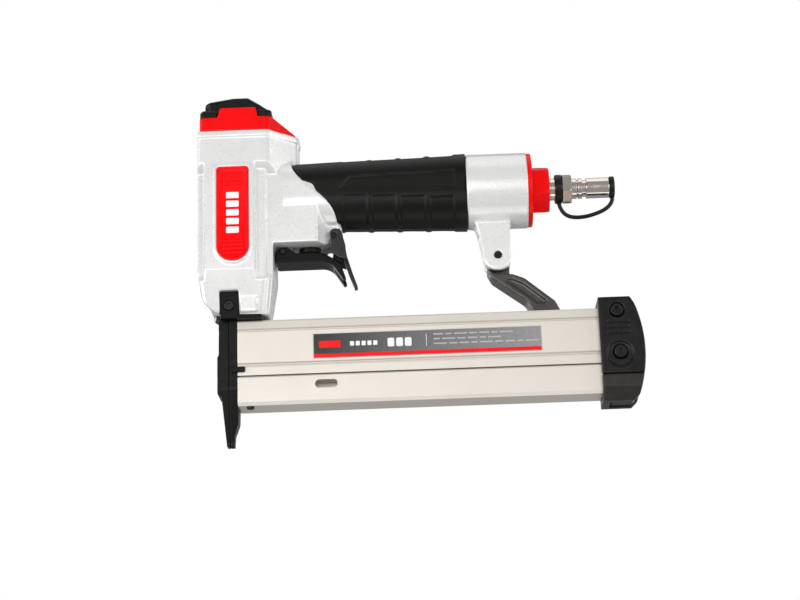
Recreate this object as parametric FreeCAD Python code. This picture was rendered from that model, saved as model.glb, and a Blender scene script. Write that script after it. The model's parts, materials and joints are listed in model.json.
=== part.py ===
"""Pneumatic pin nailer with a side magazine, modelled as an assembly of its separate pieces.

Frame: origin at the centre of the nose's contact face, where the pin leaves the tool. +Z runs up the driver,
+X runs back along the magazine and the handle, and +Y is the tool's left side. All sizes are in millimetres.
Each sub-part is written to parts/NODE.step.
"""
import FreeCAD
import Part

import math
import os

from FreeCAD import Vector

# ---------------------------------------------------------------- driving dimensions
HALF_MAGAZINE = 10.0          # half the magazine's width
MAGAZINE_BOTTOM = 20.5
MAGAZINE_TOP = 67.0
MAGAZINE_FRONT = 3.9
MAGAZINE_REAR = 197.0         # end of the sliding channel
RAIL_REAR = 210.0             # the fixed rail reaches into the rear cap, whose screws hold it
SPLIT_Z = 36.3                # the sliding channel is below this line and the fixed rail above it
HEAD_BOTTOM = 69.4
HEAD_TOP = 172.0
HEAD_FRONT = -16.8
HEAD_REAR = 22.5
HEAD_HALF = 20.5
BORE_R = 15.4                 # the head's chamber round the cylinder sleeve
SLEEVE_R = 12.0               # the cylinder's own bore
HANDLE_Z = 138.4              # axis of the handle and the air inlet
HANDLE_REAR = 162.4
GRIP_REAR = 129.2
GRIP_HALF_W = 17.0
GRIP_HALF_H = 20.3            # at the middle of the grip's length
BARREL_R = 20.7               # round end of the handle
TRIGGER_PIVOT = (28.6, 105.9)
LEVER_PIVOT = (56.4, 113.6)
STEM_X = 43.0
LUG_PIN = (144.8, 99.6)
STRAP_R = 1.1
FIT = 0.05                    # radial clearance of a running fit
GAP = 0.3                     # clearance between pieces that move past each other
NECK_REAR = 37.7              # rear end of the head's neck over the handle
GRIP_FRONT_CURVE = [(36.8, 161.0), (34.4, 153.0), (38.6, 145.2), (50.0, 134.9), (56.9, 126.0), (58.7, 117.5)]
BADGE_X = 2.9                 # middle of the side badges
BADGE_HALF = 8.7
BADGE_LOW = 97.5
BADGE_TOP = 150.9
CAP_SCREWS = [(-12.1, -15.7), (-12.1, 15.7), (19.5, -15.7), (19.5, 15.7)]
CAP_INSET = 1.3               # the cap is this much smaller than the rim it sits on
GASKET = 0.5                  # thickness of the gasket under the cap
CAP_BASE = HEAD_TOP + GASKET
CAP_TOP = 180.6
PANEL_TOP = 186.2             # top of the cap's raised side panels
COVER_BASE_TOP = 184.8
COVER_TOP = 193.9
SLEEVE_LOW = 86.2             # foot of the cylinder sleeve
SLEEVE_TOP = 166.0
PISTON_LOW = 152.2            # the piston at rest, at the top of its stroke
PISTON_TOP = 163.0
RIB_PITCH = 15.7              # spacing of the grip's panels
PANEL_REARS = [122.4 - RIB_PITCH * k for k in range(4)]
PANEL_LENGTH = 13.2
PANEL_DEPTH = 0.6
PLUG_X = HANDLE_REAR + 12.0   # where the air plug leaves the inlet cap
RING_X = PLUG_X + 3.0
PLUG_TIP = PLUG_X + 33.0
CAP_DISC_X = PLUG_TIP + 0.15
CHANNEL_HALF = 1.1            # half the driver's channel in the nose
NOSE_SCREW_Z = (60.5, 35.0)
LINE_Z = (61.4, 42.6)         # grooves along the rail's sides
FIN_HALF = 2.1                # half the thickness of the slide's upright fin
FIN_TOP = 53.2
STOP_SCREW = (10.4, -5.6)     # x and y under the slide's front
PUSHER_X = 7.0                # front of the pusher at rest
PUSHER_LENGTH = 16.0
REAR_SCREWS = [(206.2, 65.0), (206.8, 42.1)]
ARM_SCREW_X = (165.5, 172.5)
REAR_SPLIT = 30.0             # joint line between the rear cap and the slide's end
REAR_HALF = 12.2              # half the width of both rear pieces
LATCH_PIVOT = (203.2, 21.4)


# ---------------------------------------------------------------- helpers
def at_xy(u, v):
    return Vector(u, v, 0)


def at_xz(u, v):
    return Vector(u, 0, v)


def at_yz(u, v):
    return Vector(0, u, v)


NORMAL = {at_xy: Vector(0, 0, 1), at_xz: Vector(0, 1, 0), at_yz: Vector(1, 0, 0)}


def outline(points, plane):
    """Closed wire through (u, v) or (u, v, radius) corners; a corner with a radius is rounded by a tangent arc."""
    corners = [(p[0], p[1], p[2] if len(p) > 2 else 0.0) for p in points]
    count = len(corners)
    starts, ends, middles = [], [], []
    for i, (u, v, radius) in enumerate(corners):
        here = Vector(u, v, 0)
        before = Vector(*corners[i - 1][:2], 0) - here
        after = Vector(*corners[(i + 1) % count][:2], 0) - here
        before.normalize()
        after.normalize()
        if radius <= 0:
            starts.append(here)
            ends.append(here)
            middles.append(None)
            continue
        half = before.getAngle(after) / 2
        back = radius / math.tan(half)
        inward = before + after
        inward.normalize()
        centre = here + inward * (radius / math.sin(half))
        starts.append(here + before * back)
        ends.append(here + after * back)
        middles.append(centre - inward * radius)
    edges = []
    for i in range(count):
        if middles[i] is not None:
            edges.append(Part.Arc(*[plane(p.x, p.y) for p in (starts[i], middles[i], ends[i])]).toShape())
        following = starts[(i + 1) % count]
        if (following - ends[i]).Length > 1e-6:
            edges.append(Part.makeLine(plane(ends[i].x, ends[i].y), plane(following.x, following.y)))
    return Part.Wire(edges)


def slab(points, plane, low, high):
    """Solid between two planes, with a rounded polygon as its outline."""
    wire = points if isinstance(points, Part.Wire) else outline(points, plane)
    face = Part.Face(wire)
    face.translate(NORMAL[plane] * low)
    return face.extrude(NORMAL[plane] * (high - low))


def box(x0, x1, y0, y1, z0, z1):
    return Part.makeBox(x1 - x0, y1 - y0, z1 - z0, Vector(x0, y0, z0))


def rod_x(radius, x0, x1, z, y=0.0):
    return Part.makeCylinder(radius, x1 - x0, Vector(x0, y, z), Vector(1, 0, 0))


def rod_y(radius, x, z, y0, y1):
    return Part.makeCylinder(radius, y1 - y0, Vector(x, y0, z), Vector(0, 1, 0))


def rod_z(radius, z0, z1, x=0.0, y=0.0):
    return Part.makeCylinder(radius, z1 - z0, Vector(x, y, z0), Vector(0, 0, 1))


def tube_z(outer, inner, z0, z1, x=0.0, y=0.0):
    return rod_z(outer, z0, z1, x, y).cut(rod_z(inner, z0 - 1, z1 + 1, x, y))


def hexagon_x(across_flats, x0, x1, z, turn=0.0):
    """Hexagonal bar along X, turned about its own axis by an angle in degrees."""
    reach = across_flats / math.sqrt(3)
    angles = [math.radians(60 * k + turn) for k in range(6)]
    points = [(reach * math.cos(a), z + reach * math.sin(a)) for a in angles]
    return slab(points, at_yz, x0, x1)


def torus(radius, thick, centre, axis):
    return Part.makeTorus(radius, thick, centre, axis)


def fuse(first, *others):
    return first.multiFuse(list(others)).removeSplitter()


def both_sides(make):
    """The two pieces that a function of a side, -1 or +1, makes."""
    return [make(-1), make(1)]


def span(side, near, far):
    """Lowest and highest y of a piece from near to far outboard on one side."""
    return (near, far) if side > 0 else (-far, -near)


def soften(shape, radius, choose, least=1):
    """Fillets the edges that choose accepts; says so if fewer than least were found or the fillet fails."""
    edges = [e for e in shape.Edges if choose(e)]
    if len(edges) < least:
        print("soften: found", len(edges), "edges, expected", least)
        return shape
    try:
        rounded = shape.makeFillet(radius, edges)
        if rounded.isValid() and rounded.Volume > 0:
            return rounded
    except Exception as problem:
        print("soften:", problem)
    print("soften: radius", radius, "failed on", len(edges), "edges")
    return shape


def on_plane(edge, axis, value, tolerance=0.02):
    """True if a whole edge lies at one value of x, y or z."""
    box_of = edge.BoundBox
    low, high = {"x": (box_of.XMin, box_of.XMax), "y": (box_of.YMin, box_of.YMax),
                 "z": (box_of.ZMin, box_of.ZMax)}[axis]
    return abs(low - value) < tolerance and abs(high - value) < tolerance


def socket_screw(head_r, head_h, shank_r, length, socket_af):
    """Socket-head screw standing on the XY plane: head up from z 0, shank down."""
    head = rod_z(head_r, 0, head_h)
    head = soften(head, 0.35, lambda e: on_plane(e, "z", head_h))
    reach = socket_af / math.sqrt(3)
    corners = [(reach * math.cos(math.radians(60 * k)), reach * math.sin(math.radians(60 * k))) for k in range(6)]
    head = head.cut(slab(corners, at_xy, head_h * 0.42, head_h + 1))
    return fuse(head, rod_z(shank_r, -length, 0))


def aimed(shape, position, direction):
    """A copy of a shape built along +Z, moved to a position with its +Z along a direction."""
    turned = shape.copy()
    turned.Placement = FreeCAD.Placement(Vector(*position), FreeCAD.Rotation(Vector(0, 0, 1), Vector(*direction)))
    return turned


# ---------------------------------------------------------------- outlines that several pieces share


def head_plan(grow=0.0):
    """Plan of the head's upper collar: a box in front and a neck that narrows towards the handle."""
    half = HEAD_HALF + grow
    side = [(HEAD_FRONT - grow, -half, 3.2), (HEAD_REAR, -half, 3.0), (NECK_REAR + grow, -5.5 - grow, 4.5)]
    return side + [(x, -y, r) for x, y, r in reversed(side)]


def handle_section(inset=0.0, taller=0.0):
    """Cross-section of the grip, a tall rounded shape round the handle's axis."""
    w, h = GRIP_HALF_W - inset + taller * 0.5, GRIP_HALF_H - inset + taller
    r = min(w, h) - 1.2
    return [(-w, HANDLE_Z - h, r), (w, HANDLE_Z - h, r), (w, HANDLE_Z + h, r), (-w, HANDLE_Z + h, r)]


def grip_form(inset=0.0):
    """The grip's outer form, which grows a little taller towards the rear."""
    wires = []
    for x, taller in ((30.0, -1.7), (GRIP_REAR, 1.0)):
        wire = outline(handle_section(inset, taller), at_yz)
        wire.translate(Vector(x, 0, 0))
        wires.append(wire)
    return Part.makeLoft(wires, True, True)


def grip_region():
    """Everything behind the grip's curved front edge, up to its rear edge."""
    points = [at_xz(x, z) for x, z in GRIP_FRONT_CURVE]
    curve = Part.BSplineCurve()
    curve.interpolate(points)
    around = [at_xz(62.0, 105.0), at_xz(GRIP_REAR, 105.0), at_xz(GRIP_REAR, 175.0), at_xz(36.8, 175.0)]
    loop = [points[-1]] + around + [points[0]]
    sides = [Part.makeLine(a, b) for a, b in zip(loop, loop[1:])]
    face = Part.Face(Part.Wire([curve.toShape()] + sides))
    face.translate(Vector(0, -30, 0))
    return face.extrude(Vector(0, 60, 0))


# ---------------------------------------------------------------- housing


def badge_outline(grow=0.0):
    w = BADGE_HALF + grow
    return [(BADGE_X - w, BADGE_TOP + grow, 1.6), (BADGE_X + w, BADGE_TOP + grow, 1.6),
            (BADGE_X + w, BADGE_LOW - grow, w - 0.4), (BADGE_X - w, BADGE_LOW - grow, w - 0.4)]


def head_outside():
    """Outer form of the casting's head, before the chamber is cut."""
    lower_z = 93.0
    collar = slab(head_plan(), at_xy, 100.0, 168.8)
    rim = slab(head_plan(0.6), at_xy, 168.8, HEAD_TOP)
    # the neck is cut away below the collar, where the handle and the valve box take over
    collar = collar.cut(box(HEAD_REAR, 60, -30, 30, 90, 146))
    # side profile with the large rounding of the lower front
    profile = [(HEAD_FRONT, 180), (HEAD_FRONT, HEAD_BOTTOM, 17.0), (20.8, HEAD_BOTTOM, 1.5), (24.0, 88.0, 4.0),
               (24.0, 112.0), (60, 112.0), (60, 180)]
    upper_wire = outline([(HEAD_FRONT, -HEAD_HALF, 3.2), (24.0, -HEAD_HALF, 5.0), (24.0, HEAD_HALF, 5.0),
                          (HEAD_FRONT, HEAD_HALF, 3.2)], at_xy)
    upper_wire.translate(Vector(0, 0, lower_z))
    lower_wire = outline([(HEAD_FRONT + 3, -13.6, 3.2), (21.0, -13.6, 5.0), (21.0, 13.6, 5.0),
                          (HEAD_FRONT + 3, 13.6, 3.2)], at_xy)
    lower_wire.translate(Vector(0, 0, HEAD_BOTTOM))
    lower = Part.makeLoft([lower_wire, upper_wire], True, True)
    waist = slab([(HEAD_FRONT, -HEAD_HALF, 3.2), (24.0, -HEAD_HALF, 5.0), (24.0, HEAD_HALF, 5.0),
                  (HEAD_FRONT, HEAD_HALF, 3.2)], at_xy, lower_z, 108.0)
    body = fuse(collar, waist, lower, rim)
    body = body.common(slab(profile, at_xz, -30, 30))
    return body


def corner_pockets():
    """Recesses at the four upright corners of the head, with sloping ends."""
    front = [(HEAD_FRONT - 5, 16.9), (HEAD_FRONT + 3.6, 16.9), (-11.8, 22.5), (HEAD_FRONT - 5, 22.5)]
    rear = [(14.2, 22.5), (15.3, 18.2), (20.0, 18.2), (21.4, 16.2), (30, 16.2), (30, 22.5)]
    slope = [(16.0, 90.0), (22.6, 84.0), (22.6, 156.5), (16.0, 147.5)]
    tools = []
    for side in (-1, 1):
        for plan in (front, rear):
            upright = slab([(x, side * y) for x, y in plan], at_xy, 80, 158)
            ends = slab([(side * y, z) for y, z in slope], at_yz, -30, 32)
            tools.append(upright.common(ends))
    return tools


def handle_outside():
    """Silver parts of the handle: the front block, the core under the grip and the round rear barrel."""
    front = slab(handle_section(0.15), at_yz, 8.0, 70.0).cut(grip_region())
    front = front.cut(box(50, 90, -30, 30, 160, 180)).cut(box(60, 90, -30, 30, 90, 180))
    core = slab(handle_section(3.0), at_yz, 8.0, 145.0)
    barrel = rod_x(BARREL_R, GRIP_REAR, HANDLE_REAR, HANDLE_Z)
    barrel = soften(barrel, 1.0, lambda e: on_plane(e, "x", GRIP_REAR))
    return [front, core, barrel]


def valve_box():
    """Block under the handle's front that holds the trigger valve."""
    plan = [(8, -16.2), (47.8, -16.2, 1.5), (53.2, -8.0, 2.0), (60.5, -8.0, 3.0)]
    plan = plan + [(x, -y, *r) for x, y, *r in reversed(plan)]
    block = slab(plan, at_xy, 100, 145)
    side = [(8, 143.0), (8, 108.3), (52.2, 108.3, 1.0), (59.4, 118.4), (70, 118.4), (70, 124), (52, 139),
            (45, 143.0)]
    block = block.common(slab(side, at_xz, -30, 30))
    lever_ear = slab([(52.0, 119.0), (52.2, 110.0, 3.4), (60.6, 110.0, 3.4), (60.8, 119.0)], at_xz, -6.2, 6.2)
    trigger_ear = slab([(24.0, 112.0), (25.0, 102.7, 3.0), (32.2, 102.7, 3.0), (33.2, 112.0)], at_xz, -5.6, 5.6)
    return [block, lever_ear, trigger_ear]


def rear_lug():
    """Clevis under the barrel that the magazine's support arm bolts to."""
    side = [(130.8, 125.0), (134.8, 112.0, 6.0), (137.9, 91.3, 6.4), (151.6, 91.3, 6.4), (152.2, 125.0)]
    whole = slab(side, at_xz, -7.6, 7.6)
    whole = soften(whole, 1.0, lambda e: on_plane(e, "y", -7.6) or on_plane(e, "y", 7.6))
    return whole.cut(box(120, 160, -3.6, 3.6, 85, 113.5))


def badge_rims():
    """Raised borders that frame the side badges."""
    def rim(side):
        low, high = span(side, HEAD_HALF - 1.0, HEAD_HALF + 0.7)
        ring = slab(badge_outline(1.3), at_xz, low, high)
        return ring.cut(slab(badge_outline(0.05), at_xz, low - 2, high + 2))
    return both_sides(rim)


def side_pads():
    """Flat machined pads low on the head, beside the nose screws."""
    def pad(side):
        low, high = span(side, 8.0, 16.4)
        return slab([(6.3, 70.2, 0.8), (15.2, 70.2, 0.8), (15.2, 81.2, 0.8), (6.3, 81.2, 0.8)], at_xz, low, high)
    return both_sides(pad)


def make_housing():
    body = fuse(head_outside(), *handle_outside(), *valve_box(), *side_pads())
    body = body.cut(Part.makeCompound(corner_pockets()))
    body = fuse(body, rear_lug(), *badge_rims())
    cuts = [
        rod_z(BORE_R, 84.0, HEAD_TOP + 2),                                # cylinder chamber
        rod_z(9.0, HEAD_BOTTOM - 2, 85.0),                                # driver's way out
        rod_x(12.4, 8.0, HANDLE_REAR - 12, HANDLE_Z),                     # air chamber in the handle
        rod_x(17.0 + FIT, HANDLE_REAR - 16, HANDLE_REAR + 5, HANDLE_Z),   # seat of the inlet cap
        rod_z(5.6, 100, 130, STEM_X),                                     # trigger valve's bore
        rod_y(1.5 + FIT, *TRIGGER_PIVOT, -30, 30),
        rod_y(1.5 + FIT, *LEVER_PIVOT, -30, 30),
        rod_y(2.8, *LEVER_PIVOT, 6.1, 9.0),                               # pocket of the lock lever's spring
        rod_y(2.0 + FIT, *LUG_PIN, -30, 30),
        box(24, 32, -5.6, 5.6, HANDLE_Z + 9, HEAD_TOP + 1),               # port up to the head valve
    ]
    for side in (-1, 1):
        low, high = span(side, 10.9, 30.0)
        cuts.append(box(-4.9, 5.5, low, high, 60, 82.2))                  # seats of the nose yoke
        low, high = span(side, 8.0, 30.0)
        cuts.append(rod_y(1.6, 0.0, 74.5, low, high))
    for x, y in CAP_SCREWS:
        cuts.append(rod_z(1.6 + FIT, HEAD_TOP - 12, HEAD_TOP + 2, x, y))
    for tool in cuts:
        body = body.cut(tool)
    return body.removeSplitter()


# ---------------------------------------------------------------- head: cap, exhaust cover, cylinder, valve, piston


def make_cap_gasket():
    sheet = slab(head_plan(-CAP_INSET), at_xy, HEAD_TOP, CAP_BASE)
    sheet = sheet.cut(rod_z(BORE_R, HEAD_TOP - 1, CAP_BASE + 1))
    sheet = sheet.cut(box(24, 32, -5.6, 5.6, HEAD_TOP - 1, CAP_BASE + 1))
    for x, y in CAP_SCREWS:
        sheet = sheet.cut(rod_z(1.9, HEAD_TOP - 1, CAP_BASE + 1, x, y))
    return sheet


def make_cylinder_cap():
    cap = slab(head_plan(-CAP_INSET), at_xy, CAP_BASE, CAP_TOP)
    slope = slab([(HEAD_REAR + 1.8, CAP_TOP), (60, CAP_TOP - 19.6), (60, CAP_TOP + 9)], at_xz, -30, 30)
    cap = cap.cut(slope)
    for low, high in both_sides(lambda side: span(side, 15.9, HEAD_HALF - CAP_INSET)):
        panel = slab([(-6.6, CAP_TOP - 3), (-4.0, PANEL_TOP, 0.8), (15.4, PANEL_TOP, 0.8), (17.6, CAP_TOP - 3)],
                     at_xz, low, high)
        cap = fuse(cap, panel)
    chamber = rod_z(12.9, CAP_BASE - 1, CAP_TOP - 2.2)
    passage = rod_z(4.2, CAP_BASE, CAP_TOP + 9, 2.0)
    cap = cap.cut(chamber).cut(passage).cut(box(12, 30, -4.6, 4.6, CAP_BASE - 1, CAP_BASE + 2.2))
    for x, y in CAP_SCREWS:
        cap = cap.cut(rod_z(1.9, CAP_BASE - 1, CAP_TOP + 1, x, y))
    return cap


def cover_tower(inset, top):
    """Upper block of the exhaust cover: rounded corners, a crowned top and a steep slope down at the rear."""
    x0, x1, y = -13.2 + inset, 22.6 - inset, 14.8 - inset
    r = 4.6 - inset * 0.8
    tower = slab([(x0, -y, r), (x1, -y, r), (x1, y, r), (x0, y, r)], at_xy, CAP_TOP - 1, top)
    drop = 1.4 * inset
    above = slab([(-20.0, top - 3.4), (3.0, top + 0.01), (10.9, top + 0.01), (24.0, 185.4 - drop),
                  (30.0, 185.4 - drop), (30.0, top + 9), (-20.0, top + 9)], at_xz, -30, 30)
    return tower.cut(above)


def make_exhaust_cover():
    front = HEAD_FRONT + CAP_INSET + 0.2
    base = slab([(front, -18.8, 3.0), (24.2, -18.8, 3.0), (24.2, 18.8, 3.0), (front, 18.8, 3.0)], at_xy,
                CAP_TOP, COVER_BASE_TOP)
    base = soften(base, 1.0, lambda e: on_plane(e, "z", COVER_BASE_TOP))
    tower = cover_tower(0.0, COVER_TOP).cut(box(-30, 30, -30, 30, CAP_TOP - 2, CAP_TOP))
    tower = soften(tower, 1.8, lambda e: e.BoundBox.ZMax > COVER_TOP - 3.0 and e.BoundBox.ZMin > 184.0, 4)
    cover = fuse(base, tower)
    cover = cover.cut(cover_tower(2.2, COVER_TOP - 2.2))
    for low, high in both_sides(lambda side: span(side, 15.7, 30.0)):
        notch = [(-7.6, CAP_TOP - 4), (-4.2, PANEL_TOP + 2), (15.7, PANEL_TOP + 2), (18.6, CAP_TOP - 4)]
        cover = cover.cut(slab(notch, at_xz, low, high))
    # exhaust slots through the sloping rear of the tower
    for y in (-9.6, -4.8, 0.0, 4.8, 9.6):
        slot = slab([(12.6, y - 1.3, 1.2), (20.4, y - 1.3, 1.2), (20.4, y + 1.3, 1.2), (12.6, y + 1.3, 1.2)], at_xy,
                    184.0, 200)
        cover = cover.cut(slot)
    for x, y in CAP_SCREWS:
        cover = cover.cut(rod_z(1.9, CAP_TOP - 1, 190, x, y)).cut(rod_z(2.6, 183.0, 190, x, y))
    return cover


def make_cap_screws():
    screw = socket_screw(2.4, 2.2, 1.6, 22.0, 2.0)
    return Part.makeCompound([aimed(screw, (x, y, 183.0), (0, 0, 1)) for x, y in CAP_SCREWS])


def make_side_badge(side):
    low, high = span(side, HEAD_HALF, HEAD_HALF + 1.1)
    plate = slab(badge_outline(-0.05), at_xz, low, high)
    outer = HEAD_HALF + 1.1
    return soften(plate, 0.35, lambda e: on_plane(e, "y", side * outer), 4)


def make_cylinder_sleeve():
    sleeve = tube_z(SLEEVE_R + 1.3, SLEEVE_R, SLEEVE_LOW, SLEEVE_TOP)
    flange = tube_z(BORE_R - FIT, SLEEVE_R, 118.0, 122.0).cut(
        torus(BORE_R - FIT, 0.9, Vector(0, 0, 120.0), Vector(0, 0, 1)))
    foot = tube_z(BORE_R - FIT, SLEEVE_R, SLEEVE_LOW, SLEEVE_LOW + 2.5)
    ports = [Part.makeCylinder(0.9, 40, Vector(-20, 0, 0), Vector(1, 0, 0)) for _ in range(3)]
    sleeve = fuse(sleeve, flange, foot)
    for k, port in enumerate(ports):
        port.rotate(Vector(0, 0, 0), Vector(0, 0, 1), 60 * k + 30)
        port.translate(Vector(0, 0, 104.0))
        sleeve = sleeve.cut(port)
    return sleeve


def make_sleeve_oring():
    ring = torus(BORE_R - FIT, 0.85, Vector(0, 0, 120.0), Vector(0, 0, 1))
    return ring.common(rod_z(BORE_R - 0.02, 118, 122))


def make_bumper():
    outer = rod_z(SLEEVE_R - 0.2, SLEEVE_LOW, 99.0)
    outer = soften(outer, 1.5, lambda e: on_plane(e, "z", 99.0))
    outer = outer.cut(torus(SLEEVE_R + 0.6, 1.8, Vector(0, 0, 93.0), Vector(0, 0, 1)))
    return outer.cut(rod_z(3.2, 80, 105))


def make_driver_guide():
    """Steel bush at the foot of the chamber: it closes the bore and leads the driver into the nose."""
    bush = fuse(rod_z(BORE_R - FIT, 84.0, SLEEVE_LOW), rod_z(9.0 - FIT, HEAD_BOTTOM, 84.0))
    return bush.cut(box(-1.1, 1.1, -0.75, 0.75, 60, 90))


def make_piston():
    piston = rod_z(SLEEVE_R - FIT, PISTON_LOW, PISTON_TOP)
    piston = soften(piston, 0.6, lambda e: on_plane(e, "z", PISTON_LOW) or on_plane(e, "z", PISTON_TOP), 2)
    piston = piston.cut(rod_z(8.8, PISTON_LOW + 6.5, PISTON_TOP + 1))
    piston = piston.cut(torus(SLEEVE_R - FIT, 1.3, Vector(0, 0, 160.2), Vector(0, 0, 1)))
    return piston.cut(rod_z(2.6, PISTON_LOW - 1, PISTON_TOP))


def make_piston_oring():
    ring = torus(SLEEVE_R - FIT, 1.25, Vector(0, 0, 160.2), Vector(0, 0, 1))
    return ring.common(rod_z(SLEEVE_R - 0.02, 158, 162))


def make_driver_blade():
    """Driver: a thin flat blade on a round head that the piston holds."""
    head = rod_z(2.55, PISTON_LOW, PISTON_LOW + 6.5)
    return fuse(head, box(-0.75, 0.75, -0.4, 0.4, 54.0, PISTON_LOW + 1))


def make_head_valve():
    """Ring valve that seals on the top of the sleeve and lifts into the cap to fire."""
    valve = rod_z(12.8, SLEEVE_TOP + 0.1, 174.6)
    valve = valve.cut(rod_z(9.5, 171.0, 180)).cut(rod_z(7.0, 160, 169.5))
    valve = valve.cut(torus(12.8, 1.0, Vector(0, 0, 173.6), Vector(0, 0, 1)))
    return valve.cut(rod_z(3.0, 160, 180))


def helix_spring(radius, wire, low, high, turns, x=0.0, y=0.0):
    """Compression spring along Z: a round wire swept along a helix."""
    pitch = (high - low - 2 * wire) / turns
    path = Part.makeLongHelix(pitch, pitch * turns, radius)
    section = Part.Wire(Part.Circle(Vector(radius, 0, 0), Vector(0, 1, 0), wire).toShape())
    spring = Part.Wire(path).makePipeShell([section], True, True)
    spring.translate(Vector(x, y, low + wire))
    return spring


def make_head_valve_spring():
    return helix_spring(6.6, 0.5, 171.1, 178.2, 3)


# ---------------------------------------------------------------- grip and air inlet


def grip_cells():
    """Boxes that mark the recessed fields of the grip: side panels, side bands and the flats on top and below."""
    cells = []
    sides = both_sides(lambda side: span(side, 3.0, 25.0))
    for low, high in sides:
        cells.append(slab([(59.0, 137.0), (123.0, 135.0), (123.0, 146.0), (66.0, 145.0)], at_xz, low, high))
    for rear in PANEL_REARS:
        top = 131.2 + (PANEL_REARS[0] - rear) * 0.06
        for low, high in sides:
            cells.append(box(rear - PANEL_LENGTH, rear, low, high, HANDLE_Z - 26, top))
        cells.append(box(rear - PANEL_LENGTH, rear, -25, 25, HANDLE_Z + 17.6, HANDLE_Z + 26))
    return cells


def make_grip_sleeve(housing):
    sleeve = grip_form().common(grip_region())
    skin = grip_form(-2.0).cut(grip_form(PANEL_DEPTH))
    for cell in grip_cells():
        sleeve = sleeve.cut(skin.common(cell))
    sleeve = sleeve.cut(slab(handle_section(3.0), at_yz, 0, 140))
    sleeve = sleeve.cut(housing)
    return max(sleeve.Solids, key=lambda s: s.Volume)


def make_inlet_cap():
    flange = rod_x(20.2, HANDLE_REAR, HANDLE_REAR + 2.4, HANDLE_Z)
    flange = soften(flange, 0.7, lambda e: on_plane(e, "x", HANDLE_REAR + 2.4))
    nut = hexagon_x(23.2, HANDLE_REAR + 2, PLUG_X - 0.1, HANDLE_Z, 26.6)
    nut = nut.common(Part.makeCone(15.6, 11.9, 12.0, Vector(HANDLE_REAR + 1.5, 0, HANDLE_Z), Vector(1, 0, 0)))
    spigot = rod_x(17.0, HANDLE_REAR - 13, HANDLE_REAR, HANDLE_Z)
    cap = fuse(flange, nut, spigot)
    cap = cap.cut(torus(17.0, 1.1, Vector(HANDLE_REAR - 3, 0, HANDLE_Z), Vector(1, 0, 0)))
    cap = cap.cut(rod_x(13.5, HANDLE_REAR - 14, HANDLE_REAR - 4, HANDLE_Z))
    return cap.cut(rod_x(6.6 + FIT, HANDLE_REAR - 15, HANDLE_REAR + 20, HANDLE_Z))


def make_inlet_oring():
    ring = torus(17.0, 1.05, Vector(HANDLE_REAR - 3, 0, HANDLE_Z), Vector(1, 0, 0))
    return ring.common(rod_x(17.0, HANDLE_REAR - 5, HANDLE_REAR - 1, HANDLE_Z))


def make_inlet_filter():
    """Cup-shaped wire filter inside the inlet cap."""
    cup = rod_x(13.0, HANDLE_REAR - 13, HANDLE_REAR - 4.1, HANDLE_Z)
    return cup.cut(rod_x(12.0, HANDLE_REAR - 12, HANDLE_REAR, HANDLE_Z))


def make_air_plug():
    z = HANDLE_Z
    stub = rod_x(6.6, HANDLE_REAR - 3, PLUG_X + 0.6, z)
    collar = rod_x(6.0, PLUG_X, RING_X + 4.4, z)
    nut = hexagon_x(14.8, RING_X + 4.4, RING_X + 9.2, z, 26.6)
    nut = nut.common(Part.makeCone(10.2, 7.8, 6.0, Vector(RING_X + 3.8, 0, z), Vector(1, 0, 0)))
    shoulder = rod_x(5.6, RING_X + 9.2, RING_X + 12.0, z)
    groove = rod_x(4.9, RING_X + 12.0, RING_X + 13.0, z)
    bead = rod_x(5.6, RING_X + 13.0, RING_X + 15.0, z)
    waist = rod_x(4.6, RING_X + 15.0, RING_X + 17.4, z)
    nose = rod_x(5.6, RING_X + 17.4, PLUG_TIP, z)
    plug = fuse(stub, collar, nut, shoulder, groove, bead, waist, nose)
    plug = soften(plug, 0.5, lambda e: on_plane(e, "x", PLUG_TIP))
    return plug.cut(rod_x(3.5, HANDLE_REAR - 4, PLUG_TIP + 1, z))


def make_tether_ring():
    ring = rod_x(8.0, RING_X + 0.2, RING_X + 4.2, HANDLE_Z)
    ring = soften(ring, 0.7, lambda e: on_plane(e, "x", RING_X + 0.2) or on_plane(e, "x", RING_X + 4.2), 2)
    return ring.cut(rod_x(6.0 + FIT, RING_X - 1, RING_X + 6, HANDLE_Z))


def make_dust_cap():
    disc = rod_x(6.1, CAP_DISC_X, CAP_DISC_X + 2.7, HANDLE_Z)
    disc = soften(disc, 0.7, lambda e: on_plane(e, "x", CAP_DISC_X + 2.7))
    stub = rod_x(3.5 - FIT, CAP_DISC_X - 7.0, CAP_DISC_X, HANDLE_Z)
    stub = soften(stub, 0.6, lambda e: on_plane(e, "x", CAP_DISC_X - 7.0))
    return fuse(disc, stub)


def strap_path():
    """Centre line of the moulded strap: straight runs joined by tangent arcs, hanging below the plug."""
    left, right = RING_X + 2.2, CAP_DISC_X + 1.35
    start, end = HANDLE_Z - 8.0, HANDLE_Z - 6.4
    corners = [(left, start, 0), (left + 1.2, start - 7.2, 6.5), (left + 12.6, start - 9.4, 18.0),
               (right - 0.6, start - 3.6, 6.0), (right, end, 0)]
    points = [Vector(x, 0, z) for x, z, _ in corners]
    edges, cursor = [], points[0]
    for i in range(1, len(points) - 1):
        before = points[i - 1] - points[i]
        after = points[i + 1] - points[i]
        before.normalize()
        after.normalize()
        half = before.getAngle(after) / 2
        radius = corners[i][2]
        back = radius / math.tan(half)
        inward = before + after
        inward.normalize()
        middle = points[i] + inward * (radius / math.sin(half) - radius)
        first, last = points[i] + before * back, points[i] + after * back
        if (first - cursor).Length > 1e-6:
            edges.append(Part.makeLine(cursor, first))
        edges.append(Part.Arc(first, middle, last).toShape())
        cursor = last
    edges.append(Part.makeLine(cursor, points[-1]))
    return Part.Wire(edges)


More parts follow.
